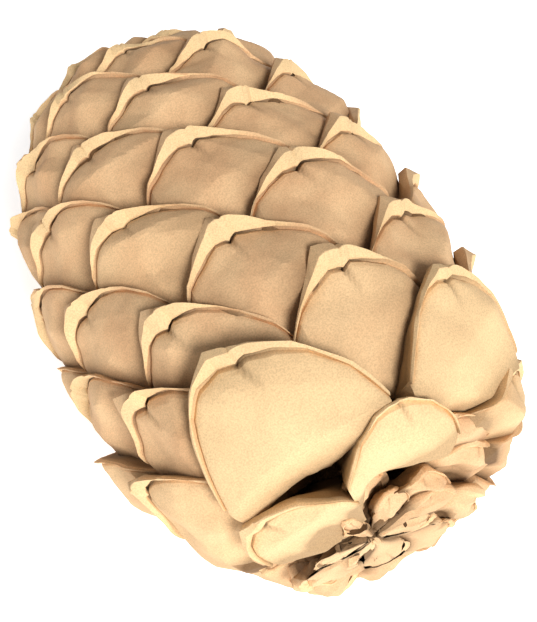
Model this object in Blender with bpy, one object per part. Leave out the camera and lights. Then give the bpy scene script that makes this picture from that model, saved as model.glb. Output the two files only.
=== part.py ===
"""A closed pine cone, lying on its side as picked.

The scales stand on a spiral around the woody axis. Each scale shows what lies
between its own rim, an arch, and the rims of the scales that cover its foot. All
of this is drawn in spiral coordinates: the turn about the axis and the place
along the spiral, counted in steps of thirteen scales. A straight line leads from
the axis to the surface for each such pair, so two scales never share space.
Lengths are in millimetres up to the last step, which places the cone in metres.
"""
import math

import bmesh
import bpy
from mathutils import Matrix, Vector

MM = 0.001

# Spiral of the scales, and the side on which it is crowded or runs oblique
DIVERGENCE = math.radians(138.49)
START_ANGLE = math.radians(252.4)
START_ALONG = 0.2
STEP = 13
FIRST_SCALE = -29
LAST_SCALE = 28
LAST_TIP_SCALE = 66
FIRST_BASE_SCALE = -50
CROWDING = 0.154
CROWDED_SIDE = math.radians(230.4)
OBLIQUE = 0.89
OBLIQUE_SIDE = math.radians(201.0)

# Rim of one scale, in spiral coordinates, and how far it reaches to each side
ARCH_HALF_WIDTH = math.radians(24.0)
ARCH_DROP = 0.5
ARCH_POWER = 2.5
ARCH_REACH = 1.45
COVERED_BY = 34
HALVINGS = 40

# Scales that never grew, and neighbours that spread over their places: turn in degrees, rise
# along the spiral, width, and how many places earlier they come in the order of covering
MISSING = (-21, -26, -31, -34)
AS_THE_REST = (0.0, 0.0, 1.0, 0)
SPREAD = {-29: (13.0, -0.3, 1.33, 0), -24: (6.0, 0.0, 1.0, 0), -18: (-6.0, -0.14, 1.0, 0),
          -16: (4.0, 0.04, 1.0, 0), -13: (-13.0, -0.08, 1.25, 4.5), -10: (-5.0, 0.25, 1.0, 0),
          -5: (-5.0, 0.0, 0.95, 0)}

# Surface of the cone: its widest round, and the way up to the tip and down to the stalk
WIDEST = -0.32
WIDE_RADIUS = 36.6
WIDE_HEIGHT = 50.0
TIP_SPAN = 5.47
TIP_RISE = 72.0
BASE_SPAN = 3.53
BASE_DROP = 52.4
ROUNDNESS = 0.633
BLUNT_BELOW = 12.0
BLUNTNESS = 0.42
NARROWER = 0.33
NARROW_SIDE = math.radians(140.0)
NARROW_FROM = 1.0
LEAST_RADIUS = 6.4
TIP_GAIN = 0.1

# Root line along the axis, from the stalk end
ROOT_RADIUS = 6.0
ROOT_TAPER = 0.22
ROOT_HEIGHT = 10.5
ROOT_RISE = 7.1
ROOT_CURVE = 0.2

# Relief of one scale along its line: sunk at its foot, proud at its lip
ROWS = (0.0, 0.3, 0.75, 1.0)
RELIEF = (-2.4, 0.7, 2.0, 4.0)
CORNER_RELIEF = -0.8
COLUMNS = 13
SURFACE_SHRINK = 0.925
ROOT_SHRINK = 0.6
SIDE_OPENING = 0.4
# The small scales: how proud those at the tip stand, and how sunk and short those around the
# stalk are. They are shortest next to the large scales
TIP_RELIEF = (-2.4, 3.2)
BASE_RELIEF = (-3.6, -0.4)
BASE_SHORTER = 0.4
# How far the lips of the lowest scales have opened, by place on the spiral. On the underside,
# some stand prouder and some are pressed flatter, so that the cone rests on three of them
OPENED = {-29: 2.5, -27: 1.0, -25: 1.0, -24: 3.0, -23: 1.8, -22: 1.0, -20: 0.5, -19: 3.0,
          -18: 4.0, -17: 3.2, -16: 1.5, -15: 2.0, -14: 1.5, -13: 4.5, -10: 3.0, -5: 1.5,
          -9: -1.4, -4: -1.8, -1: 2.8, 4: -2.0, 9: -2.2, 12: -0.8, 17: 3.0}

# Axis, with its broken stalk end at the base
GAP = 0.35
STALK_RADIUS = 4.6
STALK_FROM = 6.8
COLLAR = ((0.5, 10.5), (0.2, 14.0))
AXIS_SIDES = 14

# The joined scales at the tip and around the stalk
TURN_STEPS = 52
TIP_TOP = 5.0
APEX_RELIEF = 1.5
TIP_ROWS = (0.0, 0.16, 0.36, 0.56, 0.76)
BASE_ROWS = (0.0, 0.2, 0.45, 0.7, 1.0)
BASE_END = -3.7
EDGE_GAP = 0.055
LEAST_HEIGHT = 0.05

# How the cone lies: turned about its own axis, then tipped, then laid along Y
ROLL = math.radians(8.384)
LIFT = math.radians(-6.033)

SCALE_COLOUR = (0.72, 0.50, 0.27, 1.0)
AXIS_COLOUR = (0.40, 0.25, 0.12, 1.0)
ROUGHNESS = 0.85


def profile(place_along):
    """Radius and height of the cone's surface at a place along the spiral."""
    above = place_along > WIDEST
    span, rise = (TIP_SPAN, TIP_RISE) if above else (BASE_SPAN, BASE_DROP)
    bend = max(-1.0, min(1.0, (place_along - WIDEST) / span)) * math.pi / 2
    height = WIDE_HEIGHT + rise * math.sin(bend)
    height = max(height, BLUNT_BELOW + (height - BLUNT_BELOW) * BLUNTNESS)
    return WIDE_RADIUS * math.cos(bend) ** ROUNDNESS, height


def place(turn, along):
    """Turn about the axis and place along the cone, on its crowded and oblique sides."""
    angle = turn - CROWDING * math.sin(turn - CROWDED_SIDE)
    span = TIP_SPAN if along > WIDEST else BASE_SPAN
    bend = max(-1.0, min(1.0, (along - WIDEST) / span)) * math.pi / 2
    fade = 1 - math.sin(bend) ** 6
    return angle, along - OBLIQUE * fade * math.sin(angle - OBLIQUE_SIDE)


def narrowing(angle, placed):
    """Share of the full radius on the side where the cone narrows towards the stalk."""
    below = max(0.0, NARROW_FROM - placed) / (NARROW_FROM - WIDEST + BASE_SPAN)
    return 1 - NARROWER * below * (0.5 + 0.5 * math.cos(angle - NARROW_SIDE)) ** 2


def root_point(turn, along):
    angle, placed = place(turn, along)
    from_stalk = placed - WIDEST + BASE_SPAN
    radius = ROOT_RADIUS - ROOT_TAPER * from_stalk + GAP
    height = ROOT_HEIGHT + ROOT_RISE * from_stalk + ROOT_CURVE * from_stalk ** 2
    return Vector((radius * math.cos(angle), radius * math.sin(angle), height))


def surface_point(turn, along, relief):
    angle, placed = place(turn, along)
    radius, height = profile(placed)
    radius = max(radius * narrowing(angle, placed), min(radius, LEAST_RADIUS))
    surface = Vector((radius * math.cos(angle), radius * math.sin(angle), height))
    line = (surface - root_point(turn, along)).normalized()
    return surface + line * relief * min(1.0, radius / WIDE_RADIUS + TIP_GAIN)


def wrapped(angle):
    return (angle + math.pi) % (2 * math.pi) - math.pi


def middle_turn(index):
    shift = SPREAD.get(index, AS_THE_REST)[0]
    return START_ANGLE + index * DIVERGENCE + math.radians(shift)


def rim(index, turn):
    """Place along the spiral of a scale's rim at a turn, or None beside the scale."""
    _, rise, width, _ = SPREAD.get(index, AS_THE_REST)
    if index < FIRST_SCALE:
        rise -= BASE_SHORTER * (index - FIRST_BASE_SCALE) / (FIRST_SCALE - FIRST_BASE_SCALE)
    across = abs(wrapped(turn - middle_turn(index))) / (ARCH_HALF_WIDTH * width)
    if across > ARCH_REACH:
        return None
    return index / STEP + START_ALONG + rise - ARCH_DROP * across ** ARCH_POWER


def highest_rim(turn, indices):
    rims = [rim(index, turn) for index in indices if index not in MISSING]
    return max(height for height in rims if height is not None)


def order(index):
    """Place in the order of covering. A scale lies over those that come after it."""
    return index - SPREAD.get(index, AS_THE_REST)[3]


def foot(index, turn):
    """Lower edge of a scale at a turn: the highest rim of the scales that cover it."""
    near = range(index - COVERED_BY, index + STEP)
    return highest_rim(turn, [below for below in near if order(below) < order(index)])


def corner(index, side):
    """Turn at which a scale's own rim meets the rim of a scale that covers it."""
    middle = middle_turn(index)
    near, far = middle, middle + side * ARCH_REACH * ARCH_HALF_WIDTH
    for _ in range(HALVINGS):
        between = 0.5 * (near + far)
        own = rim(index, between)
        if own is not None and own > foot(index, between):
            near = between
        else:
            far = between
    return near


def outline(index):
    """Columns of a scale's outline as (turn, foot, rim), and its middle."""
    left, right = corner(index, -1), corner(index, 1)
    columns = []
    for k in range(COLUMNS):
        turn = left + (right - left) * 0.5 * (1 - math.cos(math.pi * k / (COLUMNS - 1)))
        columns.append((turn, foot(index, turn), rim(index, turn)))
    middle = 0.5 * (left + right)
    return columns, (middle, 0.5 * (foot(index, middle) + rim(index, middle)))


def shrunk(turn, along, middle, factor):
    return middle[0] + (turn - middle[0]) * factor, middle[1] + (along - middle[1]) * factor


def scale_mesh(index):
    """Closed wedge of one scale: domed face with a proud lip, narrowing to its root."""
    columns, middle = outline(index)
    half_width = 0.5 * (columns[-1][0] - columns[0][0])
    opened = OPENED.get(index, 0.0)
    last = COLUMNS - 1
    work = bmesh.new()

    def face_vertex(column, row):
        turn, low, high = columns[column]
        end = column in (0, last)
        u = ROWS[row]
        along = high if end else low + (high - low) * u
        relief = CORNER_RELIEF if end else RELIEF[row]
        crown = 1 - ((turn - middle[0]) / half_width) ** 2
        relief += opened * u * (SIDE_OPENING + (1 - SIDE_OPENING) * crown)
        turn, along = shrunk(turn, along, middle, SURFACE_SHRINK)
        return work.verts.new(surface_point(turn, along, relief))

    def root_vertex(column, top):
        turn, low, high = columns[column]
        turn, along = shrunk(turn, high if top else low, middle, ROOT_SHRINK)
        return work.verts.new(root_point(turn, along))

    ends = {c: face_vertex(c, 0) for c in (0, last)}
    root_ends = {c: root_vertex(c, True) for c in (0, last)}
    faces = [[ends[c] if c in ends else face_vertex(c, r) for r in range(len(ROWS))]
             for c in range(COLUMNS)]
    roots = [[root_ends[c] if c in ends else root_vertex(c, top) for top in (False, True)]
             for c in range(COLUMNS)]
    for c in range(last):
        here, there = faces[c], faces[c + 1]
        for r in range(len(ROWS) - 1):
            add_face(work, here[r], there[r], there[r + 1], here[r + 1])
        add_face(work, here[-1], there[-1], roots[c + 1][1], roots[c][1])
        add_face(work, roots[c][0], roots[c + 1][0], there[0], here[0])
        add_face(work, roots[c][1], roots[c + 1][1], roots[c + 1][0], roots[c][0])
    return finished_mesh(work)


def add_face(work, *corners):
    """Triangles over a quad whose corners may coincide."""
    distinct = []
    for vertex in corners:
        if vertex not in distinct:
            distinct.append(vertex)
    for k in range(1, len(distinct) - 1):
        work.faces.new((distinct[0], distinct[k], distinct[k + 1]))


def finished_mesh(work):
    bmesh.ops.recalc_face_normals(work, faces=work.faces)
    mesh = bpy.data.meshes.new("scale")
    work.to_mesh(mesh)
    work.free()
    return mesh


def tile_relief(turn, along, indices, relief):
    """Relief at a point of the surface that many small scales cover, given it at foot and rim."""
    for index in indices:
        top = None if index in MISSING else rim(index, turn)
        if top is None or along > top:
            continue
        low = foot(index, turn)
        u = min(1.0, max(0.0, (along - low) / max(top - low, LEAST_HEIGHT)))
        return relief[0] + (relief[1] - relief[0]) * u
    return relief[0]


def round_turns():
    return [2 * math.pi * k / TURN_STEPS for k in range(TURN_STEPS)]


def large_scales():
    return [index for index in range(FIRST_SCALE, LAST_SCALE + 1) if index not in MISSING]


def tip_mesh():
    """The small scales at the tip, joined in one cap over the end of the axis."""
    below = large_scales()
    tip = range(LAST_SCALE + 1, LAST_TIP_SCALE + 1)
    work = bmesh.new()
    rings = []
    for row in TIP_ROWS:
        ring = []
        for turn in round_turns():
            low = highest_rim(turn, below) + EDGE_GAP
            along = low + (TIP_TOP - low) * row
            ring.append(work.verts.new(surface_point(turn, along, tile_relief(turn, along, tip, TIP_RELIEF))))
        rings.append(ring)
    roots = [work.verts.new(root_point(turn, highest_rim(turn, below) + 2 * EDGE_GAP))
             for turn in round_turns()]
    apex = work.verts.new((0.0, 0.0, profile(TIP_TOP)[1] + APEX_RELIEF))
    floor = work.verts.new((0.0, 0.0, tip_floor() + GAP))
    for k in range(TURN_STEPS):
        n = (k + 1) % TURN_STEPS
        for low_ring, high_ring in zip(rings, rings[1:]):
            add_face(work, low_ring[k], low_ring[n], high_ring[n], high_ring[k])
        add_face(work, rings[-1][k], rings[-1][n], apex)
        add_face(work, rings[0][n], rings[0][k], roots[k], roots[n])
        add_face(work, roots[n], roots[k], floor)
    return finished_mesh(work)


def tip_floor():
    """Height at the axis under the lowest point of the tip's edge."""
    heights = [root_point(turn, highest_rim(turn, large_scales())).z for turn in round_turns()]
    return min(heights) - GAP


def base_mesh():
    """The small curled scales around the stalk, joined in one ring."""
    small = range(FIRST_BASE_SCALE, FIRST_SCALE)
    work = bmesh.new()
    rings = []
    for row in BASE_ROWS:
        ring = []
        for turn in round_turns():
            high = highest_rim(turn, small) - EDGE_GAP
            along = high + (BASE_END - high) * row
            relief = tile_relief(turn, along, small, BASE_RELIEF) if row < 1 else 0.0
            ring.append(work.verts.new(surface_point(turn, along, relief)))
        rings.append(ring)
    high_roots = [work.verts.new(root_point(turn, highest_rim(turn, small) - 2 * EDGE_GAP))
                  for turn in round_turns()]
    low_roots = [work.verts.new(root_point(turn, BASE_END)) for turn in round_turns()]
    for k in range(TURN_STEPS):
        n = (k + 1) % TURN_STEPS
        for high_ring, low_ring in zip(rings, rings[1:]):
            add_face(work, high_ring[k], high_ring[n], low_ring[n], low_ring[k])
        add_face(work, rings[0][n], rings[0][k], high_roots[k], high_roots[n])
        add_face(work, high_roots[k], low_roots[k], low_roots[n], high_roots[n])
        add_face(work, rings[-1][k], rings[-1][n], low_roots[n], low_roots[k])
    return finished_mesh(work)


def axis_mesh():
    """Woody axis of the cone, from the broken stalk to the tip scales."""
    top = tip_floor() - GAP
    low_radius = ROOT_RADIUS
    high_radius = ROOT_RADIUS - ROOT_TAPER * (LAST_SCALE / STEP - WIDEST + BASE_SPAN)
    stations = [(STALK_RADIUS, STALK_FROM)]
    stations += [(low_radius - inset, height) for inset, height in COLLAR]
    stations.append((high_radius, top))
    work = bmesh.new()
    rings = []
    for radius, height in stations:
        ring = []
        for k in range(AXIS_SIDES):
            angle = 2 * math.pi * k / AXIS_SIDES
            ring.append(work.verts.new((radius * math.cos(angle), radius * math.sin(angle), height)))
        rings.append(ring)
    for low_ring, high_ring in zip(rings, rings[1:]):
        for k in range(AXIS_SIDES):
            n = (k + 1) % AXIS_SIDES
            work.faces.new((low_ring[k], low_ring[n], high_ring[n], high_ring[k]))
    work.faces.new(rings[0])
    work.faces.new(rings[-1])
    return finished_mesh(work)


def material(name, colour):
    wood = bpy.data.materials.new(name)
    wood.use_nodes = True
    shader = wood.node_tree.nodes["Principled BSDF"]
    shader.inputs["Base Color"].default_value = colour
    shader.inputs["Roughness"].default_value = ROUGHNESS
    shader.inputs["Metallic"].default_value = 0.0
    return wood


def add_object(name, mesh, wood, parent):
    mesh.name = name
    mesh.materials.append(wood)
    piece = bpy.data.objects.new(name, mesh)
    bpy.context.scene.collection.objects.link(piece)
    piece.parent = parent
    return piece


def lying(pieces, parent):
    """Turn the cone onto its side and set the bottom centre of its box at the origin."""
    lay = Matrix.Rotation(-math.pi / 2, 4, "X") @ Matrix.Rotation(ROLL, 4, "Z")
    turned = Matrix.Rotation(LIFT, 4, "X") @ lay @ Matrix.Scale(MM, 4)
    corners = [turned @ vertex.co for piece in pieces for vertex in piece.data.vertices]
    low = Vector([min(point[k] for point in corners) for k in range(3)])
    high = Vector([max(point[k] for point in corners) for k in range(3)])
    place_at = Vector((-(low.x + high.x) / 2, -(low.y + high.y) / 2, -low.z))
    parent.matrix_world = Matrix.Translation(place_at) @ turned


def main():
    for existing in list(bpy.data.objects):
        bpy.data.objects.remove(existing, do_unlink=True)
    parent = bpy.data.objects.new("cone_frame", None)
    bpy.context.scene.collection.objects.link(parent)
    wood = material("scale_wood", SCALE_COLOUR)
    pieces = []
    for number, index in enumerate(large_scales(), start=1):
        pieces.append(add_object(f"scale_{number:02d}", scale_mesh(index), wood, parent))
    pieces.append(add_object("tip_scales", tip_mesh(), wood, parent))
    pieces.append(add_object("base_scales", base_mesh(), wood, parent))
    pieces.append(add_object("cone_axis", axis_mesh(), material("axis_wood", AXIS_COLOUR), parent))
    lying(pieces, parent)


main()
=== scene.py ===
"""Looks of a closed pine cone: every woody scale as its own detailed piece.

A scale is first drawn flat, in spiral coordinates: across (degrees of turn from the middle of its
rim), along (steps of thirteen scales from the top of its rim) and lift (millimetres above the
cone's surface). One Geometry Nodes tree then wraps it round the cone at its place on the spiral.
"""
import math

import bpy
import numpy as np
from mathutils import Matrix, Vector


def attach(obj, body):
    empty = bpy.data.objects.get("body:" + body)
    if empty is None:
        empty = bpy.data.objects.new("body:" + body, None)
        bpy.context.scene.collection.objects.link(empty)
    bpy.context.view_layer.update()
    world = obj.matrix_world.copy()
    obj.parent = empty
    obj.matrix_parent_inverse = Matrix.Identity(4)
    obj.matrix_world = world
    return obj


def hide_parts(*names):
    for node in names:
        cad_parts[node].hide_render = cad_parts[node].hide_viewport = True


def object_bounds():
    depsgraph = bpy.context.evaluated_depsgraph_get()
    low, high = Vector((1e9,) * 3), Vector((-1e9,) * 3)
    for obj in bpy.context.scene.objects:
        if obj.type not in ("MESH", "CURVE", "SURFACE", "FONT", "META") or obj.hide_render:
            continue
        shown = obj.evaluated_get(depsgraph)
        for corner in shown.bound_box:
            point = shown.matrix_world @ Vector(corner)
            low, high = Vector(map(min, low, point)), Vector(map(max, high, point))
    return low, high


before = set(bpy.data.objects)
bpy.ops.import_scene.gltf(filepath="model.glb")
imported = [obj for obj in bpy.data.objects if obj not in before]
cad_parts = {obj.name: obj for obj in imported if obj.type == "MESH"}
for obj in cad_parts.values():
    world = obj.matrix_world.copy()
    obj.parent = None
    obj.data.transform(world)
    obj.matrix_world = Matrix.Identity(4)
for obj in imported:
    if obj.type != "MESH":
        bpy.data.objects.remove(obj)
cad_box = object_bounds()

MM = 0.001

# Spiral of the scales, as in the CAD: turn from one scale to the next, and where scale 0 stands
DIVERGENCE = math.radians(138.49)
START_ANGLE = math.radians(252.4)
START_ALONG = 0.2
STEP = 13

# Numbers on the spiral: the large scales, the last one of the tip and the first one of the base.
# The two innermost of the base would fold over the stalk end, so they aren't drawn.
FIRST_SCALE = -29
LAST_SCALE = 28
LAST_TIP_SCALE = 70
FIRST_BASE_SCALE = -50
FIRST_DRAWN = -48
MISSING = (-21, -26, -31, -34)

# Crowding of the scales towards one side, slant of their rows against the axis, and how fast that
# slant fades towards both poles
CROWDING = 0.154
CROWDED_SIDE = math.radians(230.4)
OBLIQUE = 0.89
OBLIQUE_SIDE = math.radians(201.0)
OBLIQUE_FADE = 3.0

# Surface of the cone, as in the CAD: its widest round, spans and heights from there to both poles,
# and a base that is blunted below a height and narrower on one side. The way out of the surface
# changes over BLUNT_BLEND to both sides of that height, so that no step shows. Towards a pole the
# relief shrinks to TIP_GAIN. Nothing is placed nearer to the poles than two shares of the way there.
WIDEST = -0.32
WIDE_RADIUS = 36.6
WIDE_HEIGHT = 50.0
TIP_SPAN = 5.47
TIP_RISE = 72.0
BASE_SPAN = 3.53
BASE_DROP = 52.4
ROUNDNESS = 0.633
BLUNT_BELOW = 12.0
BLUNTNESS = 0.42
BLUNT_BLEND = 7.0
NARROWER = 0.33
NARROW_SIDE = math.radians(140.0)
NARROW_FROM = 1.0
LEAST_RADIUS = 6.4
BASE_SHORTER = 0.4
TIP_GAIN = 0.1
NEAREST_STALK = -0.995
NEAREST_TIP = 0.9998

# Line along the axis on which the roots of the scales stand
ROOT_RADIUS = 6.0
ROOT_TAPER = 0.22
ROOT_HEIGHT = 10.5
ROOT_RISE = 7.1
ROOT_CURVE = 0.2

# Axis from the torn stalk end to the tip: radius, height, depth of the ribs, height of the torn
# edge and tone of each ring. TORN_SHIFT turns the torn edge against the ribs, in corners.
AXIS_SIDES = 72
TORN_SHIFT = 3
TORN_TONE = 0.15
AXIS_STATIONS = (
    (0.7, 8.9, 0.1, 0.1, -0.9), (1.3, 8.6, 0.1, 0.15, -0.7), (1.8, 7.7, 0.1, 0.2, -0.4),
    (2.2, 7.15, 0.08, 0.2, 0.3), (2.8, 7.05, 0.06, 0.2, 0.5), (3.4, 7.5, 0.06, 0.2, 0.1),
    (3.9, 8.3, 0.05, 0.15, -0.1), (4.4, 9.2, 0.04, 0.1, -0.2), (4.9, 10.4, 0.03, 0.0, -0.4),
    (5.5, 14.0, 0.02, 0.0, -0.5), (5.2, 35.0, 0.02, 0.0, -0.5), (4.9, 65.0, 0.02, 0.0, -0.5),
    (4.5, 96.0, 0.02, 0.0, -0.5))

# How the cone lies: turned about its own axis, then tipped towards its tip
ROLL = math.radians(8.384)
LIFT = math.radians(-6.033)
STALK_END_AT = Vector((-0.000969, -0.064026, 0.045025))

# Rim of a scale, as in the CAD: it falls from its top to both sides
RIM_HALF = 24.0
RIM_DROP = 0.5
RIM_POWER = 2.5
RIM_REACH = 1.45

# Order of covering: how many scales before it can cover one, the one scale that is pushed out over
# those just before it, by how many, and how far to the side a scale can matter, in degrees
COVERED_BY = 34
PUSHED_OUT = -13
OUT_OF_ORDER = 4.5
FAR_OFF = 60.0

# Shade in the corners under the covering rims: a degree and a step in millimetres, how far the
# shade reaches, the samples along a rim, and a place past every rim
DEGREE_MM = 0.6
STEP_MM = 20.0
SHADE_MM = 2.0
COVER_REACH = 1.2
COVER_SAMPLES = 41
FAR_PLACE = 9.0

# Rounded upper edge of the face, inside the rim, and how the face is divided
FACE_MIDDLE = 4.0
FACE_TOP = -0.035
FACE_HALF = 28.0
FACE_DROP = 0.47
FACE_POWER = 2.1
SIDE = 29.0
FOOT = -1.3
FACE_ROWS = 30
ROWS_TO_EDGE = 0.8
COLUMN_WIDTH = 0.95

# Opened scales are leaves, cut off where others cover them: samples along the rim, distance of the
# face's edge from it, more of that under the lip, and power of the drop towards both ends
LEAF_SAMPLES = 400
LEAF_EDGE = 0.02
LEAF_LIP = 0.05
LEAF_ROUNDING = 3

# Dome of the face: lift at its top, and how far it falls to its foot and to both sides. The last
# part of both sides falls faster, so that it doesn't come through the neighbour in front.
DOME = 1.9
DOME_FALL = 2.4
DOME_SPAN = 0.85
RIGHT_FALL = 1.5
LEFT_FALL = 0.5
SIDE_POWER = 2.5
END_FROM = 0.95
END_FALL = 9.0
EDGE_ROLL = 0.9
EDGE_SPAN = 0.035

# Folds of the face: two broad blunt ones and three weak pleats, each at its own angle and shift.
# Shifts are in halves of the rim's width, heights in millimetres.
FACE_HEIGHT = 0.6
FOLD_MIDDLE = -0.42
FOLD_ANGLES = (0.75, -0.55)
FOLD_TURN = 0.3
FOLD_SHIFTS = (-0.02, 0.1)
FOLD_SLIP = 0.14
FOLD_HEIGHTS = (3.2, 2.0)
FOLD_RANGE = (0.6, 1.3)
FOLD_BLUNT = 0.0003
FOLD_REACH = 0.5
FOLD_MEAN = 0.25
FOLD_INSIDE = 1.05
PLEATS = 3
PLEAT_LIMITS = np.array((1.2, 0.5, 0.8))
PLEAT_HALF = 0.33
SPIN_MIDDLE = -0.45

# Crease that runs down from the beak, with painted shade along it
CREASE_SLANT = 12
CREASE_WIDTH = 0.7
CREASE_SPAN = 0.3
CREASE_DEPTH = 0.5
CREASE_PAINTED_SHADE = 0.55

# Lip: a crescent folded out over the face. Its share and its paleness, partly wear and partly painted
# light, from the left foot past the beak to the right, the corners of its angular rim and where its
# ridge runs between both edges
LIP_KEYS = (-29.0, -22.0, -13.5, -7.0, 2.0, 11.0, 19.0)
LIP_SHARE = (0.1, 0.3, 0.8, 1.0, 0.65, 0.2, 0.0)
LIP_GAIN = 1.2
BRIGHT_KEYS = (-27.0, -21.0, 9.0, 13.0)
CORNER_KEYS = (-25.0, -17.0, -10.5, -1.0, 8.0, 17.0)
CORNER_RISE = (0.0, 0.01, 0.12, 0.035, 0.015, 0.01)
CORNER_JITTER = 0.8
RISE_RANGE = (0.8, 1.2)
RIDGE_KEYS = (-22.0, -12.0, -7.0, -3.0, 12.0)
RIDGE_AT = (0.35, 0.42, 0.55, 0.8, 0.9)
EDGE_KEYS = (-22.0, -15.0, 3.5, 9.0, 15.0, 21.0)
EDGE_JITTER = 0.9
LEAST_RIM = 0.022
BEAK = -6.0
BEAK_JITTER = 0.7
BEAK_LEFT = 4.3
BEAK_RIGHT = 2.6
BEAK_DROP = 0.042

# Section of the lip: hollow from just left of the beak, undercut, front, ridge and rim. The hollow
# starts and is full at so many degrees from the beak. Lengths along are in steps of the spiral, so
# 0.003 is 0.06 mm. Heights are in millimetres.
HOLLOW_FROM = -1.5
HOLLOW_TO = 1.0
HOLLOW_LEAST = 0.35
HOLLOW_DEPTH = 0.4
# Painted shade under the lip's edge: how far it reaches, and how strong it is in the hollow and in the
# undercut
HOLLOW_SHADE = 0.016
HOLLOW_PAINTED_SHADE = 0.75
UNDERCUT_PAINTED_SHADE = 0.6
UNDERCUT_FROM = 0.002
UNDERCUT = 0.024
LIP_EDGE = 0.003
LIP_RISE = 0.8
FACET_HEIGHT = 0.4
RIDGE_RISE = 2.2
RIDGE_LEAST = 0.1
RIDGE_END = 0.04
TOOTH_RISE = 0.4
TOOTH_FRONT = 0.3
RIM_FROM = 0.97
RIM_RISE = 1.5
RIM_ROUND = 0.3
# The back facet keeps only this share of the lip's painted light, which is painted shade, as it faces
# away from the light. The flank is painted darker as shade.
RIM_TONE = 0.1
FLANK_FALL = 0.7
FLANK_PAINTED_SHADE = -0.3

# How much every scale stands open at its lip and is sunk at its foot
ALL_OPEN = 0.5
ALL_SUNK = -1.3

# Back of the scale, down to its root on the axis: painted shade between the scales, thickness behind
# the rim and below it, lift, and depth as a share of the way to the axis
BACK_PAINTED_SHADE = -0.6
RIM_THICK = 2.0
BACK_THICK = 2.8
BACK_DEPTHS = (0.1, 0.5)
UNDER_LIFT = -4.0
UNDER_DEPTH = 0.35
BACK_LIFT = -2.2
ROOT_DEPTH = 0.93
ROOT_ALONG = (-0.55, -1.15)
SHARP_FROM = math.radians(11)

# Small scales round the stalk: fixed traits, and ranges of the random ones
BASE_FOLD = 2.2
BASE_WRINKLE = 4.5
BASE_FOOT = -0.8
BASE_SPIN = 40
BASE_OPEN = (-1.0, 1.6)
BASE_LIP = (0.2, 0.8)
BASE_LENGTH = (0.7, 1.2)

# Unevenness of the surface in millimetres: broad waves and fine crinkles, and the height of these
WAVE_MM = 6.25
CRINKLE_MM = 1.25
CRINKLE_HEIGHT = 0.1

# Patterns of the wood. The real grain and fibres are about 0.1 mm; they are drawn coarser, as fine
# as the picture can show them. The blotches are as large as in the photo.
GRAIN_MM = 0.26
FIBRE_MM = 0.4
BLOTCH_MM = 9

# Fixed seeds: outlines and folds, traits of the base scales, torn stalk, and places in the noise
OUTLINE_SEED = 1000
TRAIT_SEED = 500
TORN_SEED = 7
NOISE_STEP = 37.0
NOISE_START = 60

# Camera of the photograph, in the cone's own frame in millimetres
CAMERA_AT = Vector((-87.3, -153.1, -69.8))
CAMERA_RIGHT = Vector((0.8952, -0.2022, -0.3972))
CAMERA_UP = Vector((0.1611, -0.6842, 0.7113))
CAMERA_BACK = Vector((-0.4156, -0.7007, -0.5799))
FOCAL_PIXELS = 1143.0
IMAGE_HEIGHT = 622

# Light: an even fill, a soft key light to the right of the camera and a little below it, and a pale
# floor that glows a little, as paper does in a bright studio
WORLD_STRENGTH = 0.22
KEY_STRENGTH = 3.3
KEY_SOFTNESS = math.radians(20)
KEY_TO_RIGHT = math.radians(22)
KEY_DOWN = math.radians(9)
FLOOR_GLOW = 0.7
FLOOR_HALF = 3.0


def srgb(code):
    """Linear colour of an sRGB hex code."""
    parts = [int(code[k:k + 2], 16) / 255 for k in (0, 2, 4)]
    return tuple(c / 12.92 if c <= 0.04045 else ((c + 0.055) / 1.055) ** 2.4 for c in parts) + (1.0,)


def add(tree, kind, inputs=(), **settings):
    """Add a node, set it and feed its inputs, by order or by name, with values or sockets."""
    node = tree.nodes.new(kind)
    for name, value in settings.items():
        setattr(node, name, value)
    pairs = inputs.items() if isinstance(inputs, dict) else enumerate(inputs)
    for key, value in pairs:
        if isinstance(value, bpy.types.Node):
            value = value.outputs[0]
        if isinstance(value, bpy.types.NodeSocket):
            tree.links.new(value, node.inputs[key])
        else:
            node.inputs[key].default_value = value
    return node


def rim(across):
    """Place of the rim, counted from its top."""
    return -RIM_DROP * (np.abs(across) / RIM_HALF) ** RIM_POWER


def face_edge(across):
    """Place of the upper edge of the face, counted from the top of the rim."""
    return FACE_TOP - FACE_DROP * (np.abs(across - FACE_MIDDLE) / FACE_HALF) ** FACE_POWER


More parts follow.
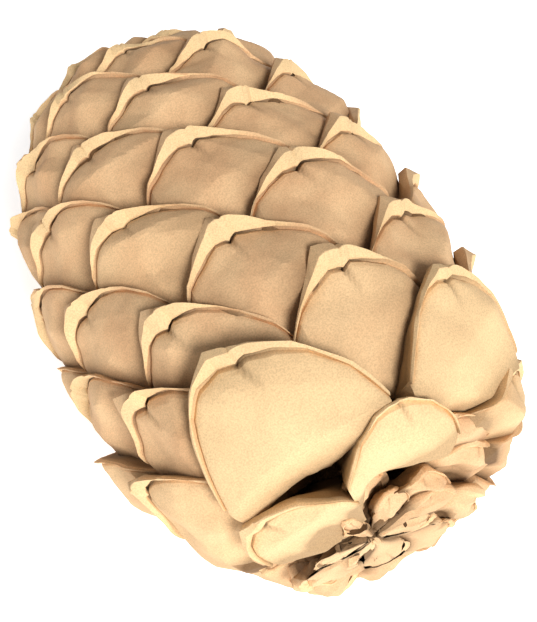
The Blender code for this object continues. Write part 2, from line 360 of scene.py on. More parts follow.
# Traits of a scale: turn in degrees, rise in steps of the spiral, width, length from rim to foot,
# opening in millimetres at the lip and at the foot, lip strength, paleness of the wood, spin of the
# outline about its middle in degrees, strength of the folds and of the uneven surface, and fall of
# the right side. A leaf is a scale cut off where others cover it, less that many degrees at both
# sides; under is how far it goes on below them, and round is how far its corners drop. Small scales
# at the base are sunk by so many millimetres.
AS_THE_REST = {"turn": 0.0, "rise": 0.0, "width": 1.0, "length": 1.0, "open": 0.0, "foot": 0.0,
               "lip": 1.0, "pale": 0.0, "spin": 0.0, "fold": 1.0, "wrinkle": 0.8, "right": 1.0,
               "leaf": 0.0, "under": 0.04, "round": 0.0, "sunk": 0.0}
APART = {
    -42: {"sunk": 4.5},
    -39: {"sunk": 3.0},
    -37: {"sunk": 5.0},
    -32: {"sunk": 4.5},
    -29: {"turn": 13.0, "rise": -0.3, "width": 1.33, "length": 1.15, "open": 3.4, "foot": 4.2,
          "lip": 0.8, "pale": 0.6, "right": 0.4, "leaf": 0.5, "under": 0.55},
    -28: {"open": -2.4, "foot": -2.2, "lip": 0.6},
    -27: {"open": 0.2},
    -25: {"open": 0.2},
    -24: {"turn": 6.0, "open": 1.8, "pale": 0.4, "right": 2.4},
    -23: {"open": -1.2, "foot": -1.2, "lip": 0.3},
    -22: {"open": 0.2},
    -19: {"open": 2.4, "pale": 0.3},
    -18: {"turn": -4.0, "rise": -0.14, "length": 1.5, "open": 3.4, "foot": 5.2, "lip": 0.0,
          "pale": 0.8, "fold": 0.6, "right": 0.2, "leaf": 1.5, "under": 0.42, "round": 0.4},
    -17: {"open": 1.7},
    -16: {"turn": 4.0, "rise": 0.04, "open": 0.8},
    -15: {"open": 1.8, "pale": 0.5},
    -14: {"open": 0.8},
    -13: {"turn": -13.0, "rise": -0.08, "width": 1.25, "length": 1.35, "open": 3.6, "foot": 3.2,
          "lip": 0.7, "pale": 0.8, "fold": 0.7, "right": 0.3, "leaf": 1.0},
    -10: {"turn": -3.5, "rise": 0.25, "width": 0.92, "length": 1.1, "open": 2.6, "foot": 3.0,
          "lip": 0.6, "pale": 0.75, "fold": 0.7, "right": 0.1, "leaf": 1.5, "round": 0.25},
    -9: {"open": -1.8},
    -6: {"open": 0.9, "lip": 1.3},
    -5: {"turn": -5.0, "width": 0.95, "open": 0.9, "pale": 0.35, "right": 1.3},
    -4: {"open": -2.2},
    -2: {"open": 1.2},
    -1: {"open": 1.3},
    2: {"open": 1.1, "lip": 1.2},
    4: {"open": -2.4},
    5: {"pale": 0.25},
    7: {"open": 0.8, "lip": 1.3},
    8: {"turn": 1.0, "rise": 0.05},
    9: {"open": -2.6},
    10: {"open": 0.7},
    11: {"open": 1.2},
    12: {"open": -1.2},
    13: {"turn": 3.0, "rise": 0.08},
    15: {"rise": 0.08, "open": 0.6, "lip": 1.35},
    17: {"open": 1.5},
    18: {"open": 0.7},
    20: {"open": 0.6},
    23: {"open": 2.0, "lip": 1.3},
    24: {"open": 1.5},
    26: {"open": 0.8},
    28: {"open": 1.2},
    29: {"open": 0.8},
    31: {"open": 1.8, "lip": 1.3},
    34: {"open": 0.6},
    36: {"open": 1.8, "lip": 1.3},
    37: {"open": 1.4},
    39: {"open": 1.0},
    42: {"open": 1.2},
    44: {"open": 1.2, "lip": 1.3},
}


def traits(index):
    """Traits of the scale with this number on the spiral."""
    return {**AS_THE_REST, **APART.get(index, {})}


def middle_of(index):
    """Turn and place of the top of a scale's rim."""
    shape = traits(index)
    rise = shape["rise"]
    if index < FIRST_SCALE:
        rise -= BASE_SHORTER * (index - FIRST_BASE_SCALE) / (FIRST_SCALE - FIRST_BASE_SCALE)
    return (math.degrees(START_ANGLE + index * DIVERGENCE) + shape["turn"],
            index / STEP + START_ALONG + rise)


def order(index):
    """Place in the order of covering. A scale lies over those that come after it."""
    return index - (OUT_OF_ORDER if index == PUSHED_OUT else 0)


def covering(index):
    """Scales that lie over the foot of a scale: offset of turn and place from it, and width."""
    turn, place = middle_of(index)
    near = []
    for below in range(index - COVERED_BY, index + STEP):
        other_turn, other_place = middle_of(below)
        offset = (other_turn - turn + 180) % 360 - 180
        if below not in MISSING and order(below) < order(index) and abs(offset) < FAR_OFF:
            near.append((offset, other_place - place, traits(below)["width"]))
    return near


def covered_below(index, across):
    """Highest rim of the covering scales at each turn, from the top of the scale's own rim."""
    highest = np.full(len(across), -FAR_PLACE)
    for offset, place, width in covering(index):
        x = (across - offset) / width
        reached = np.abs(x) < RIM_REACH * RIM_HALF
        highest = np.where(reached, np.maximum(highest, place + rim(x)), highest)
    return highest


def cover(index, across, along):
    """Painted shade of a scale in the corner under the rims that cover it, from 0 to 1: how deep its
    points lie there.
    """
    nearest = np.where(along < covered_below(index, across), 0.0, FAR_PLACE)
    samples = np.linspace(-COVER_REACH, COVER_REACH, COVER_SAMPLES) * RIM_HALF
    for offset, place, width in covering(index):
        away = np.hypot((across[:, None] - offset - samples * width) * DEGREE_MM,
                        (along[:, None] - place - rim(samples)) * STEP_MM)
        nearest = np.minimum(nearest, away.min(1))
    return np.exp(-nearest / SHADE_MM)


def scale_rings(index, shape, rng):
    """Closed cross-sections of one scale: arrays of across, along, lift, depth and tone."""
    corner_keys = np.array(CORNER_KEYS) + rng.normal(0, CORNER_JITTER, len(CORNER_KEYS))
    rises = np.array(CORNER_RISE) * shape["lip"] * rng.uniform(*RISE_RANGE)
    beak = BEAK + rng.normal(0, BEAK_JITTER)
    tooth_keys = [beak - BEAK_LEFT, beak, beak + BEAK_RIGHT]
    edge_keys = np.array(EDGE_KEYS) + rng.normal(0, EDGE_JITTER, len(EDGE_KEYS))
    edge_keys = np.sort(np.concatenate([edge_keys, tooth_keys]))
    left, right = -SIDE, SIDE
    leaf = shape["leaf"]
    top = rim
    if leaf:
        grid = np.linspace(-RIM_REACH, RIM_REACH, LEAF_SAMPLES) * RIM_HALF
        shown = grid[rim(grid) > covered_below(index, grid * shape["width"])]
        left, right = shown[0] + leaf, shown[-1] - leaf
        corner_keys, edge_keys = (keys[(keys > left + 1) & (keys < right - 1)]
                                  for keys in (corner_keys, edge_keys))
        rises = np.interp(corner_keys, CORNER_KEYS, rises)
        middle, half = (left + right) / 2, (right - left) / 2

        def top(x):
            """Rim of a leaf, which drops towards both of its ends."""
            drop = shape["round"] * np.abs((x - middle) / half) ** LEAF_ROUNDING
            return np.minimum(rim(x), -drop)

    keys = np.sort(np.concatenate([[left, right], corner_keys, edge_keys]))
    across = np.concatenate([np.linspace(a, b, max(1, round((b - a) / COLUMN_WIDTH)), endpoint=False)
                             for a, b in zip(keys, keys[1:])] + [[right]])
    strength = min(1.0, LIP_GAIN * shape["lip"])
    lip = np.interp(across, LIP_KEYS, LIP_SHARE) * strength
    wear_and_painted_light = np.interp(across, BRIGHT_KEYS, (0.0, 1.0, 1.0, 0.0)) * strength
    tooth = np.interp(across, tooth_keys, [0, 1, 0]) * shape["lip"]
    hollow = lip * np.interp(across, [beak + HOLLOW_FROM, beak + HOLLOW_TO], [HOLLOW_LEAST, 1.0])
    bounds = np.concatenate([[left], edge_keys, [right]])
    if leaf:
        edge = np.interp(across, bounds, top(bounds)) - LEAF_EDGE - LEAF_LIP * lip
    else:
        edge = np.interp(across, bounds, face_edge(bounds))
    edge = edge - BEAK_DROP * tooth
    outer = np.interp(across, corner_keys, top(corner_keys) + rises)
    outside = (across < corner_keys[0]) | (across > corner_keys[-1])
    outer = np.where(outside, top(across) + rises[-1] * (across > 0), outer)
    outer = np.maximum(outer, edge + LEAST_RIM)
    ridge_at = np.interp(across, np.array(RIDGE_KEYS) + beak - BEAK, RIDGE_AT)
    foot = FOOT * shape["length"]
    low = np.full_like(across, foot)
    if leaf:
        cut = covered_below(index, across * shape["width"]) - shape["under"]
        low = np.minimum(cut, edge - LEAF_EDGE)

    fold_angle = np.array(FOLD_ANGLES) + rng.normal(0, FOLD_TURN, len(FOLD_ANGLES))
    fold_shift = np.array(FOLD_SHIFTS) + rng.normal(0, FOLD_SLIP, len(FOLD_SHIFTS))
    fold_height = np.array(FOLD_HEIGHTS) * rng.uniform(*FOLD_RANGE, len(FOLD_HEIGHTS)) * shape["fold"]
    pleat = rng.uniform(-PLEAT_LIMITS, PLEAT_LIMITS, (PLEATS, 3)) * (1, 1, shape["fold"])

    def crease(below):
        """Line that slants down from the beak and fades out, from 0 to 1."""
        line = np.exp(-((across - beak - CREASE_SLANT * below) / CREASE_WIDTH) ** 2)
        return line * np.clip(1 - below / CREASE_SPAN, 0, 1)

    def face(along):
        """Lift of the face: a dome with blunt folds and the crease."""
        below = np.maximum(edge - along, 0.0)
        side = np.abs(across) / RIM_HALF
        side_fall = np.where(across > 0, RIGHT_FALL * shape["right"], LEFT_FALL)
        lift = DOME - DOME_FALL * (below / DOME_SPAN) ** 2
        lift = lift - side_fall * side ** SIDE_POWER
        lift = lift - EDGE_ROLL * np.exp(-below / EDGE_SPAN)
        if not leaf:
            lift = lift - END_FALL * np.maximum(side - END_FROM, 0)
        u, v = across / RIM_HALF, (along - FOLD_MIDDLE) / FACE_HEIGHT
        inside = np.clip(FOLD_INSIDE - side ** 3, 0, 1)
        for angle, shift, height in zip(fold_angle, fold_shift, fold_height):
            away = v * math.cos(angle) - u * math.sin(angle) - shift
            fold = np.minimum(np.sqrt(away ** 2 + FOLD_BLUNT), FOLD_REACH) - FOLD_MEAN
            lift = lift - height * inside * fold
        for angle, shift, height in pleat:
            away = v * math.cos(angle) - u * math.sin(angle) - shift
            lift = lift + height * inside * np.maximum(0, 1 - np.abs(away) / PLEAT_HALF)
        return lift - CREASE_DEPTH * crease(below)

    rows = []

    def row(along, lift, depth=0.0, tone=0.0):
        """One line of points from the left side of the scale to its right side."""
        rows.append(np.stack([across, along, lift, depth + 0 * across, tone + 0 * across], 1))

    # Face, from its foot up to the lip, with painted shade in the crease and close to the undercut
    for u in np.linspace(0, 1, FACE_ROWS) ** ROWS_TO_EDGE:
        along = low + (edge - low) * u
        below = edge - along
        shaded = HOLLOW_PAINTED_SHADE * hollow * np.exp(-(below / HOLLOW_SHADE) ** 2)
        row(along, face(along), tone=-shaded - CREASE_PAINTED_SHADE * crease(below))

    # Lip: painted shade in the undercut, a front pale from wear and painted lit up to the ridge, and a
    # back facet down to the rim with painted shade, as it faces away from the light
    base = face(edge) + EDGE_ROLL * (1 - lip)
    width = outer - edge
    facet = np.interp(across, (-22, beak - 6, beak, 3, 11), rng.normal(0, FACET_HEIGHT, 5)) * lip
    ridge = RIDGE_RISE * lip + RIDGE_LEAST * (1 - lip) + TOOTH_RISE * tooth + facet
    front = LIP_RISE * lip + TOOTH_FRONT * tooth - 0.5 * facet
    painted_dark_shade = np.maximum(hollow, UNDERCUT_PAINTED_SHADE * lip)
    row(edge + UNDERCUT * hollow + UNDERCUT_FROM, base - HOLLOW_DEPTH * hollow, tone=-painted_dark_shade)
    row(edge + (UNDERCUT + 2 * LIP_EDGE) * hollow + LIP_EDGE, base + 0.2 * lip, tone=-painted_dark_shade)
    row(edge + LIP_EDGE, base + front - 0.25 * lip, tone=0.6 * wear_and_painted_light)
    row(edge + 2 * LIP_EDGE, base + front, tone=wear_and_painted_light)
    row(edge + width * ridge_at * 0.5, base + 0.5 * (ridge + front) + 0.1 * tooth, tone=wear_and_painted_light)
    row(edge + width * ridge_at, base + ridge, tone=wear_and_painted_light)
    row(edge + width * (ridge_at + RIDGE_END), base + ridge - 0.05, tone=RIM_TONE * wear_and_painted_light)
    rim_lift = base + RIM_RISE * lip - RIM_ROUND * (1 - lip)
    row(edge + width * RIM_FROM, rim_lift, tone=RIM_TONE * wear_and_painted_light)
    row(outer, rim_lift - RIM_ROUND)

    # Flank and back, down to the root on the axis and forward again to the foot of the face, with
    # painted shade where they lie between the scales
    row(outer, base - FLANK_FALL, tone=FLANK_PAINTED_SHADE)
    row(np.minimum(outer, edge + 0.05) - 0.02, base - RIM_THICK, tone=BACK_PAINTED_SHADE)
    row(edge - 0.05, np.minimum(BACK_LIFT, base - BACK_THICK), BACK_DEPTHS[0], BACK_PAINTED_SHADE)
    back = np.minimum(edge - 0.1, ROOT_ALONG[0])
    row(back, BACK_LIFT - 1.0 + 0 * across, BACK_DEPTHS[1], BACK_PAINTED_SHADE)
    for root in ROOT_ALONG:
        row(root + 0 * across, 0 * across, ROOT_DEPTH, BACK_PAINTED_SHADE)
    row(np.maximum(low, ROOT_ALONG[1]), UNDER_LIFT + 0 * across, UNDER_DEPTH, BACK_PAINTED_SHADE)
    return np.stack(rows, 1), foot


def scale_mesh(index, shape):
    """Mesh of one flat-drawn scale, with its depth, reach and tone as attributes."""
    rings, foot = scale_rings(index, shape, np.random.default_rng(OUTLINE_SEED + index))
    columns, rows, _ = rings.shape
    points = rings.reshape(-1, 5)
    spin = math.radians(shape["spin"])
    u, v = points[:, 0] / RIM_HALF, (points[:, 1] - SPIN_MIDDLE) / FACE_HEIGHT
    across = (u * math.cos(spin) - v * math.sin(spin)) * RIM_HALF * shape["width"]
    along = (v * math.cos(spin) + u * math.sin(spin)) * FACE_HEIGHT + SPIN_MIDDLE
    places = np.stack([np.radians(across), along, points[:, 2]], 1)
    c, r = np.meshgrid(np.arange(columns - 1), np.arange(rows), indexing="ij")
    c, r = c.ravel(), r.ravel()
    n = (r + 1) % rows
    quads = np.stack([c * rows + r, (c + 1) * rows + r, (c + 1) * rows + n, c * rows + n], 1)
    ends = [list(range(rows)), list(range(columns * rows - 1, columns * rows - rows - 1, -1))]
    mesh = bpy.data.meshes.new(f"flat_scale_{index}")
    mesh.from_pydata(places.tolist(), [], quads.tolist() + ends)
    reach = np.clip((points[:, 1] - foot) / -foot, 0, 1)
    for name, values in (("depth", points[:, 3]), ("reach", reach), ("tone", points[:, 4]),
                         ("cover", cover(index, across, along))):
        mesh.attributes.new(name, "FLOAT", "POINT").data.foreach_set("value", values)
    return mesh


def wrap_tree():
    """Geometry Nodes tree that wraps a flat scale round the cone at its place on the spiral."""
    tree = bpy.data.node_groups.new("wrap_scale_on_cone", "GeometryNodeTree")
    face = tree.interface
    face.new_socket("Geometry", in_out="INPUT", socket_type="NodeSocketGeometry")
    for name in ("Turn", "Place", "Relief", "Open Lip", "Open Foot", "Wrinkle", "Grain", "Seed"):
        face.new_socket(name, in_out="INPUT", socket_type="NodeSocketFloat")
    face.new_socket("Wood", in_out="INPUT", socket_type="NodeSocketMaterial")
    face.new_socket("Geometry", in_out="OUTPUT", socket_type="NodeSocketGeometry")
    given = tree.nodes.new("NodeGroupInput").outputs
    math_node, vector = "ShaderNodeMath", "ShaderNodeVectorMath"

    # Turn, place and lift of each point, with the opening shared out between lip and foot
    flat = add(tree, "ShaderNodeSeparateXYZ", [add(tree, "GeometryNodeInputPosition")]).outputs
    reach = add(tree, "GeometryNodeInputNamedAttribute", {"Name": "reach"}, data_type="FLOAT")
    depth = add(tree, "GeometryNodeInputNamedAttribute", {"Name": "depth"}, data_type="FLOAT")

    turn = add(tree, math_node, [flat[0], given["Turn"]], operation="ADD")
    along = add(tree, math_node, [flat[1], given["Place"]], operation="ADD")
    opened = add(tree, math_node, [given["Open Lip"], given["Open Foot"]], operation="SUBTRACT")
    opened = add(tree, math_node, [reach, opened, given["Open Foot"]], operation="MULTIPLY_ADD")
    lift = add(tree, math_node, [flat[2], given["Relief"], opened], operation="MULTIPLY_ADD")

    # Crowding towards one side
    crowd = add(tree, math_node, [turn, CROWDED_SIDE], operation="SUBTRACT")
    crowd = add(tree, math_node, [crowd], operation="SINE")
    angle = add(tree, math_node, [crowd, -CROWDING, turn], operation="MULTIPLY_ADD")

    def bend_at(position):
        """Angle along the profile, from the widest round to a pole, and whether it is above."""
        offset = add(tree, math_node, [position, WIDEST], operation="SUBTRACT")
        above = add(tree, math_node, [offset, 0.0], operation="GREATER_THAN")
        span = add(tree, math_node, [above, TIP_SPAN - BASE_SPAN, BASE_SPAN], operation="MULTIPLY_ADD")
        share = add(tree, math_node, [offset, span], operation="DIVIDE")
        share = add(tree, "ShaderNodeClamp", [share, NEAREST_STALK, NEAREST_TIP])
        return add(tree, math_node, [share, math.pi / 2], operation="MULTIPLY"), above

    # Slant of the rows, which fades out towards the poles
    bend, _ = bend_at(along)
    fade = add(tree, math_node, [bend], operation="SINE")
    fade = add(tree, math_node, [fade, fade], operation="MULTIPLY")
    fade = add(tree, math_node, [fade, OBLIQUE_FADE], operation="POWER")
    fade = add(tree, math_node, [1.0, fade], operation="SUBTRACT")
    lean = add(tree, math_node, [angle, OBLIQUE_SIDE], operation="SUBTRACT")
    lean = add(tree, math_node, [lean], operation="SINE")
    lean = add(tree, math_node, [lean, fade], operation="MULTIPLY")
    placed = add(tree, math_node, [lean, -OBLIQUE, along], operation="MULTIPLY_ADD")

    # Surface of the cone, the way out of it, and the raised point
    bend, above = bend_at(placed)
    cosine = add(tree, math_node, [bend], operation="COSINE")
    sine = add(tree, math_node, [bend], operation="SINE")
    radius = add(tree, math_node, [cosine, ROUNDNESS], operation="POWER")
    gain = add(tree, math_node, [radius, TIP_GAIN], operation="ADD")
    gain = add(tree, math_node, [gain, 1.0], operation="MINIMUM")
    radius = add(tree, math_node, [radius, WIDE_RADIUS], operation="MULTIPLY")
    side = add(tree, math_node, [angle, NARROW_SIDE], operation="SUBTRACT")
    side = add(tree, math_node, [side], operation="COSINE")
    side = add(tree, math_node, [side, 0.5, 0.5], operation="MULTIPLY_ADD")
    side = add(tree, math_node, [side, side], operation="MULTIPLY")
    below = add(tree, math_node, [NARROW_FROM, placed], operation="SUBTRACT")
    below = add(tree, math_node, [below, NARROW_FROM - WIDEST + BASE_SPAN], operation="DIVIDE",
                use_clamp=True)
    below = add(tree, math_node, [below, side], operation="MULTIPLY")
    narrowing = add(tree, math_node, [below, -NARROWER, 1.0], operation="MULTIPLY_ADD")
    least = add(tree, math_node, [radius, LEAST_RADIUS], operation="MINIMUM")
    radius = add(tree, math_node, [radius, narrowing], operation="MULTIPLY")
    radius = add(tree, math_node, [radius, least], operation="MAXIMUM")
    rise = add(tree, math_node, [above, TIP_RISE - BASE_DROP, BASE_DROP], operation="MULTIPLY_ADD")
    height = add(tree, math_node, [rise, sine, WIDE_HEIGHT], operation="MULTIPLY_ADD")
    blunt = add(tree, math_node, [height, BLUNTNESS, BLUNT_BELOW * (1 - BLUNTNESS)],
                operation="MULTIPLY_ADD")
    flatter = add(tree, "ShaderNodeMapRange",
                  {"Value": height, "From Min": BLUNT_BELOW - BLUNT_BLEND,
                   "From Max": BLUNT_BELOW + BLUNT_BLEND, "To Min": BLUNTNESS})
    height = add(tree, math_node, [height, blunt], operation="MAXIMUM")
    normal_out = add(tree, math_node, [cosine, 2.0 - ROUNDNESS], operation="POWER")
    normal_out = add(tree, math_node, [normal_out, rise], operation="MULTIPLY")
    normal_out = add(tree, math_node, [normal_out, flatter], operation="MULTIPLY")
    normal_up = add(tree, math_node, [sine, ROUNDNESS * WIDE_RADIUS], operation="MULTIPLY")
    normal = add(tree, "ShaderNodeCombineXYZ", [normal_out, 0.0, normal_up])
    normal = add(tree, vector, [normal], operation="NORMALIZE")
    lift = add(tree, math_node, [lift, gain], operation="MULTIPLY")
    surface = add(tree, "ShaderNodeCombineXYZ", [radius, 0.0, height])
    raised = add(tree, vector, {0: normal, "Scale": lift}, operation="SCALE")
    surface = add(tree, vector, [surface, raised], operation="ADD")

    # Root on the axis, the point between surface and root, and its turn about the axis
    stalk = add(tree, math_node, [placed, BASE_SPAN - WIDEST], operation="ADD")
    root_out = add(tree, math_node, [stalk, -ROOT_TAPER, ROOT_RADIUS], operation="MULTIPLY_ADD")
    root_up = add(tree, math_node, [stalk, ROOT_CURVE, ROOT_RISE], operation="MULTIPLY_ADD")
    root_up = add(tree, math_node, [root_up, stalk, ROOT_HEIGHT], operation="MULTIPLY_ADD")
    root = add(tree, "ShaderNodeCombineXYZ", [root_out, 0.0, root_up])
    section = add(tree, "ShaderNodeMix", {"Factor": depth, 4: surface, 5: root}, data_type="VECTOR")
    placed_at = add(tree, "ShaderNodeVectorRotate", {"Vector": section.outputs[1], "Angle": angle},
                    rotation_type="Z_AXIS")
    wrapped = add(tree, "GeometryNodeSetPosition",
                  {"Geometry": given["Geometry"], "Position": placed_at})

    # Uneven surface: broad waves and fine crinkles along the normal
    where = add(tree, "GeometryNodeInputPosition")
    shifted = add(tree, "ShaderNodeCombineXYZ", [given["Seed"], given["Seed"], given["Seed"]])
    shifted = add(tree, vector, [where, shifted], operation="ADD")
    broad = add(tree, "ShaderNodeTexNoise", {"Vector": shifted, "Scale": 1 / WAVE_MM,
                                             "Detail": 2.0, "Roughness": 0.45})
    fine = add(tree, "ShaderNodeTexNoise", {"Vector": shifted, "Scale": 1 / CRINKLE_MM,
                                            "Detail": 2.0, "Roughness": 0.6})
    broad = add(tree, math_node, [broad, 0.5], operation="SUBTRACT")
    fine = add(tree, math_node, [fine, 0.5], operation="SUBTRACT")
    broad = add(tree, math_node, [broad, given["Wrinkle"]], operation="MULTIPLY")
    uneven = add(tree, math_node, [fine, given["Grain"], broad], operation="MULTIPLY_ADD")
    outward = add(tree, "GeometryNodeInputNormal")
    uneven = add(tree, vector, {0: outward, "Scale": uneven}, operation="SCALE")
    rough = add(tree, "GeometryNodeSetPosition", {"Geometry": wrapped, "Offset": uneven})
    whole = add(tree, "GeometryNodeRealizeInstances", {"Geometry": rough})
    wooden = add(tree, "GeometryNodeSetMaterial", {"Geometry": whole, "Material": given["Wood"]})
    out = tree.nodes.new("NodeGroupOutput")
    tree.links.new(wooden.outputs[0], out.inputs[0])
    return tree


def lay_down():
    """Matrix from the cone's own frame, in millimetres, to where it lies."""
    turned = Matrix.Rotation(-math.pi / 2, 4, "X") @ Matrix.Rotation(ROLL, 4, "Z")
    lifted = Matrix.Rotation(LIFT, 4, "X") @ turned
    return Matrix.Translation(STALK_END_AT) @ lifted @ Matrix.Scale(MM, 4)


def lay_in_box(mesh):
    """Lay a mesh down where the cone lies. What would stick out of the CAD's box is pressed flat."""
    mesh.transform(lay_down())
    places = np.empty(len(mesh.vertices) * 3)
    mesh.vertices.foreach_get("co", places)
    low, high = (np.array(corner) for corner in cad_box)
    mesh.vertices.foreach_set("co", np.clip(places.reshape(-1, 3), low, high).ravel())
    mesh.shade_smooth()
    mesh.set_sharp_from_angle(angle=SHARP_FROM)


def wrap(name, flat, tree, wood, values):
    """The flat scale, wrapped round the cone and laid down, as a plain mesh object."""
    piece = bpy.data.objects.new(name, flat)
    bpy.context.scene.collection.objects.link(piece)
    modifier = piece.modifiers.new("wrap", "NODES")
    modifier.node_group = tree
    sockets = {item.name: item.identifier for item in tree.interface.items_tree
               if item.in_out == "INPUT"}
    for label, value in values.items():
        modifier[sockets[label]] = value
    modifier[sockets["Wood"]] = wood
    evaluated = piece.evaluated_get(bpy.context.evaluated_depsgraph_get())
    mesh = bpy.data.meshes.new_from_object(evaluated)
    piece.modifiers.clear()
    piece.data = mesh
    mesh.name = name
    lay_in_box(mesh)
    return piece


def scale_wood():
    """Woody seed scales of a pine cone, grown closed and then dried in the air.

    Dry wood without bark or varnish is matt. Its worn lips are almost cream, with painted light on
    their fronts and painted shade on their back facets, its faces browner in soft blotches, painted
    shade darkens the corners that others cover, the hollows and the creases, and a fine grain breaks
    up the light.
    """
    wood = bpy.data.materials.new("dry_cone_scale_wood")
    wood.use_nodes = True
    tree = wood.node_tree
    shader = tree.nodes["Principled BSDF"]
    shader.inputs["Roughness"].default_value = 0.85
    shader.inputs["Specular IOR Level"].default_value = 0.2
    tone, pale, painted_corner_shade = (add(tree, "ShaderNodeAttribute", attribute_name=name).outputs["Fac"]
                           for name in ("tone", "pale", "cover"))
    place = add(tree, "ShaderNodeTexCoord").outputs["Object"]
    blotch = add(tree, "ShaderNodeTexNoise",
                 {"Vector": place, "Scale": 1 / (BLOTCH_MM * MM), "Detail": 3.0})
    grain = add(tree, "ShaderNodeTexNoise",
                {"Vector": place, "Scale": 1 / (GRAIN_MM * MM), "Detail": 1.0})

    # Where each colour shows: blotches, lips pale from wear and painted light, pale scales, painted
    # shade in the corners under other scales, and deeper painted shade in the hollows. Pale scales
    # stand open, so less painted shade is put on them.
    blotch = add(tree, "ShaderNodeMapRange", {"Value": blotch, "From Min": 0.35, "From Max": 0.65})
    light = add(tree, "ShaderNodeMath", [tone, pale], operation="MAXIMUM", use_clamp=True)
    shade = add(tree, "ShaderNodeMath", [pale, -0.55, 0.85], operation="MULTIPLY_ADD")
    shade = add(tree, "ShaderNodeMath", [painted_corner_shade, shade], operation="MULTIPLY")
    painted_dark_shade = add(tree, "ShaderNodeMath", [tone, -1.0], operation="MULTIPLY", use_clamp=True)
    # DFB285 and EDC596 are the wood, F6D29E its paleness and painted light, and 5E4226 and 2A1A0D are
    # painted shade.
    colour = srgb("DFB285")
    for share, code in ((blotch, "EDC596"), (light, "F6D29E"), (shade, "5E4226"), (painted_dark_shade, "2A1A0D")):
        colour = add(tree, "ShaderNodeMix", {"Factor": share, 6: colour, 7: srgb(code)},
                     data_type="RGBA").outputs[2]
    speck = add(tree, "ShaderNodeMapRange", {"Value": grain, "From Min": 0.3, "From Max": 0.65,
                                             "To Min": 0.84, "To Max": 1.05})
    colour = add(tree, "ShaderNodeMix", {"Factor": 1.0, 6: colour, 7: speck}, data_type="RGBA",
                 blend_type="MULTIPLY")
    tree.links.new(colour.outputs[2], shader.inputs["Base Color"])
    bump = add(tree, "ShaderNodeBump", {"Height": grain, "Strength": 0.3, "Distance": 0.1 * MM})
    tree.links.new(bump.outputs[0], shader.inputs["Normal"])
    return wood


def stalk_wood():
    """Torn, weathered wood of a stalk that broke off the twig: matt and brown.

    Its fibres end in a rough, lighter rim, and the softer pith in the middle has sunk and darkened.
    """
    wood = bpy.data.materials.new("torn_stalk_wood")
    wood.use_nodes = True
    tree = wood.node_tree
    shader = tree.nodes["Principled BSDF"]
    shader.inputs["Roughness"].default_value = 0.9
    shader.inputs["Specular IOR Level"].default_value = 0.15
    tone = add(tree, "ShaderNodeAttribute", attribute_name="tone").outputs["Fac"]
    place = add(tree, "ShaderNodeTexCoord").outputs["Object"]
    fibre = add(tree, "ShaderNodeTexNoise",
                {"Vector": place, "Scale": 1 / (FIBRE_MM * MM), "Detail": 3.0})
    level = add(tree, "ShaderNodeMath", [fibre, 0.9, tone], operation="MULTIPLY_ADD")
    level = add(tree, "ShaderNodeMapRange", {"Value": level, "From Min": -0.5, "From Max": 0.9},
                clamp=True)
    colour = add(tree, "ShaderNodeMix", {"Factor": level, 6: srgb("3B2614"), 7: srgb("D9B07C")},
                 data_type="RGBA")
    tree.links.new(colour.outputs[2], shader.inputs["Base Color"])
    bump = add(tree, "ShaderNodeBump", {"Height": fibre, "Strength": 0.4, "Distance": 0.15 * MM})
    tree.links.new(bump.outputs[0], shader.inputs["Normal"])
    return wood


def set_pale(mesh, amount):
    """Give every point of a scale the paleness of its wood."""
    values = np.full(len(mesh.vertices), amount, np.float32)
    mesh.attributes.new("pale", "FLOAT", "POINT").data.foreach_set("value", values)


def make_scales(tree, wood):
    """All the scales on the spiral, from the stalk to the tip."""
    large = [index for index in range(FIRST_SCALE, LAST_SCALE + 1) if index not in MISSING]
    for index in range(FIRST_DRAWN, LAST_TIP_SCALE + 1):
        if index in MISSING:
            continue
        shape = traits(index)
        if index < FIRST_SCALE:
            rng = np.random.default_rng(TRAIT_SEED + index)
            shape.update(spin=rng.uniform(-BASE_SPIN, BASE_SPIN), fold=BASE_FOLD,
                         open=rng.uniform(*BASE_OPEN) - shape["sunk"], foot=BASE_FOOT - shape["sunk"],
                         lip=rng.uniform(*BASE_LIP), wrinkle=BASE_WRINKLE,
                         length=rng.uniform(*BASE_LENGTH))
        turn, place = middle_of(index)
        values = {"Turn": math.radians(turn), "Place": place, "Relief": 1.0,
                  "Open Lip": shape["open"] + ALL_OPEN, "Open Foot": shape["foot"] + ALL_SUNK,
                  "Wrinkle": shape["wrinkle"], "Grain": CRINKLE_HEIGHT,
                  "Seed": NOISE_STEP * (index + NOISE_START)}
        if index in large:
            number = large.index(index) + 1
            name, node = f"cone_scale_{number:02d}", f"scale_{number:02d}"
        elif index > LAST_SCALE:
            name, node = f"tip_scale_{index - LAST_SCALE:02d}", "tip_scales"
        else:
            name, node = f"stalk_scale_{FIRST_SCALE - index:02d}", "base_scales"
        piece = wrap(name, scale_mesh(index, shape), tree, wood, values)
        set_pale(piece.data, shape["pale"])
        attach(piece, "root")
        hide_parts(node)


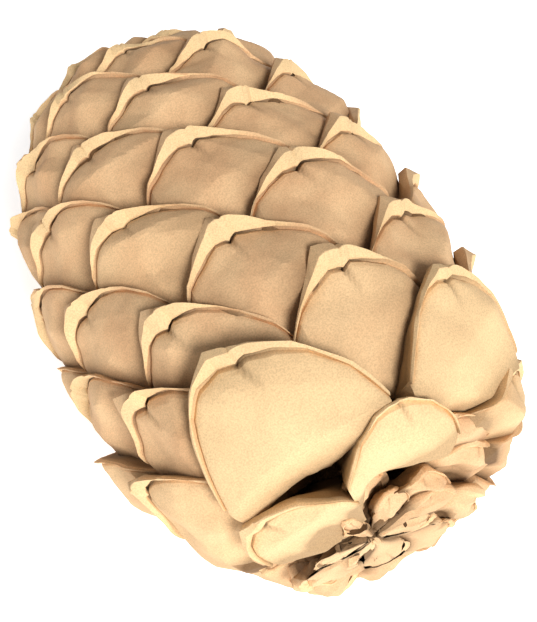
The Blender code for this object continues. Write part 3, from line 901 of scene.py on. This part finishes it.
def make_axis(wood):
    """Axis from the broken stalk to the tip: torn rim round a sunken pith, and a ribbed shaft."""
    rng = np.random.default_rng(TORN_SEED)
    turns = np.arange(AXIS_SIDES) * 2 * math.pi / AXIS_SIDES
    torn = rng.normal(0, 1, AXIS_SIDES)
    torn = 0.5 * torn + 0.25 * (np.roll(torn, 1) + np.roll(torn, -1))
    points, tones = [(0.0, 0.0, AXIS_STATIONS[0][1])], [-1.0]
    for radius, height, ribs, tear, tone in AXIS_STATIONS:
        around = radius * (1 + ribs * torn)
        heights = height + tear * np.roll(torn, TORN_SHIFT)
        points += zip(around * np.cos(turns), around * np.sin(turns), heights)
        tones += list(tone + TORN_TONE * torn)
    points.append((0.0, 0.0, AXIS_STATIONS[-1][1]))
    tones.append(0.0)
    last = len(points) - 1
    faces = []
    for k in range(AXIS_SIDES):
        n = (k + 1) % AXIS_SIDES
        faces.append((0, 1 + n, 1 + k))
        faces.append((last, last - AXIS_SIDES + k, last - AXIS_SIDES + n))
        for ring in range(len(AXIS_STATIONS) - 1):
            low, high = 1 + ring * AXIS_SIDES, 1 + (ring + 1) * AXIS_SIDES
            faces.append((low + k, low + n, high + n, high + k))
    mesh = bpy.data.meshes.new("stalk_and_axis")
    mesh.from_pydata([tuple(map(float, point)) for point in points], [], faces)
    tones = np.array(tones, np.float32)
    mesh.attributes.new("tone", "FLOAT", "POINT").data.foreach_set("value", tones)
    mesh.materials.append(wood)
    lay_in_box(mesh)
    piece = bpy.data.objects.new("stalk_and_axis", mesh)
    bpy.context.scene.collection.objects.link(piece)
    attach(piece, "root")
    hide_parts("cone_axis")


def make_floor():
    """Pale matt studio paper under the cone. It scatters light evenly and shows a soft shadow."""
    corners = [(x * FLOOR_HALF, y * FLOOR_HALF, 0) for x, y in ((-1, -1), (1, -1), (1, 1), (-1, 1))]
    mesh = bpy.data.meshes.new("floor")
    mesh.from_pydata(corners, [], [(0, 1, 2, 3)])
    floor = bpy.data.objects.new("floor", mesh)
    bpy.context.scene.collection.objects.link(floor)
    paper = bpy.data.materials.new("pale_floor")
    paper.use_nodes = True
    shader = paper.node_tree.nodes["Principled BSDF"]
    shader.inputs["Base Color"].default_value = srgb("FAFAFA")
    shader.inputs["Roughness"].default_value = 0.9
    shader.inputs["Emission Color"].default_value = srgb("FFFFFF")
    shader.inputs["Emission Strength"].default_value = FLOOR_GLOW
    mesh.materials.append(paper)


def make_camera():
    """Camera where the one of the photograph stood."""
    camera = bpy.data.objects.new("camera", bpy.data.cameras.new("camera"))
    bpy.context.scene.collection.objects.link(camera)
    camera.data.lens = FOCAL_PIXELS / IMAGE_HEIGHT * camera.data.sensor_width
    turned = Matrix((CAMERA_RIGHT, CAMERA_UP, CAMERA_BACK)).transposed().to_4x4()
    lay = lay_down()
    rotation = lay.to_quaternion().to_matrix().to_4x4()
    camera.matrix_world = Matrix.Translation(lay @ CAMERA_AT) @ rotation @ turned
    camera.data.clip_start = 0.01
    bpy.context.scene.camera = camera
    return camera


def make_studio(camera):
    """Soft key light from beside the camera, a weak even fill and a true colour view."""
    scene = bpy.context.scene
    scene.view_settings.view_transform = "Standard"
    scene.world = bpy.data.worlds.new("soft_studio")
    scene.world.use_nodes = True
    background = scene.world.node_tree.nodes["Background"].inputs
    background["Color"].default_value = srgb("FFFFFF")
    background["Strength"].default_value = WORLD_STRENGTH
    key = bpy.data.objects.new("key_light", bpy.data.lights.new("key_light", "SUN"))
    scene.collection.objects.link(key)
    key.data.energy = KEY_STRENGTH
    key.data.angle = KEY_SOFTNESS
    turned = Matrix.Rotation(KEY_TO_RIGHT, 4, "Y") @ Matrix.Rotation(KEY_DOWN, 4, "X")
    key.matrix_world = camera.matrix_world @ turned


def main():
    """Build the cone, and the floor, camera and light to look at it."""
    make_scales(wrap_tree(), scale_wood())
    make_axis(stalk_wood())
    make_floor()
    make_studio(make_camera())


main()
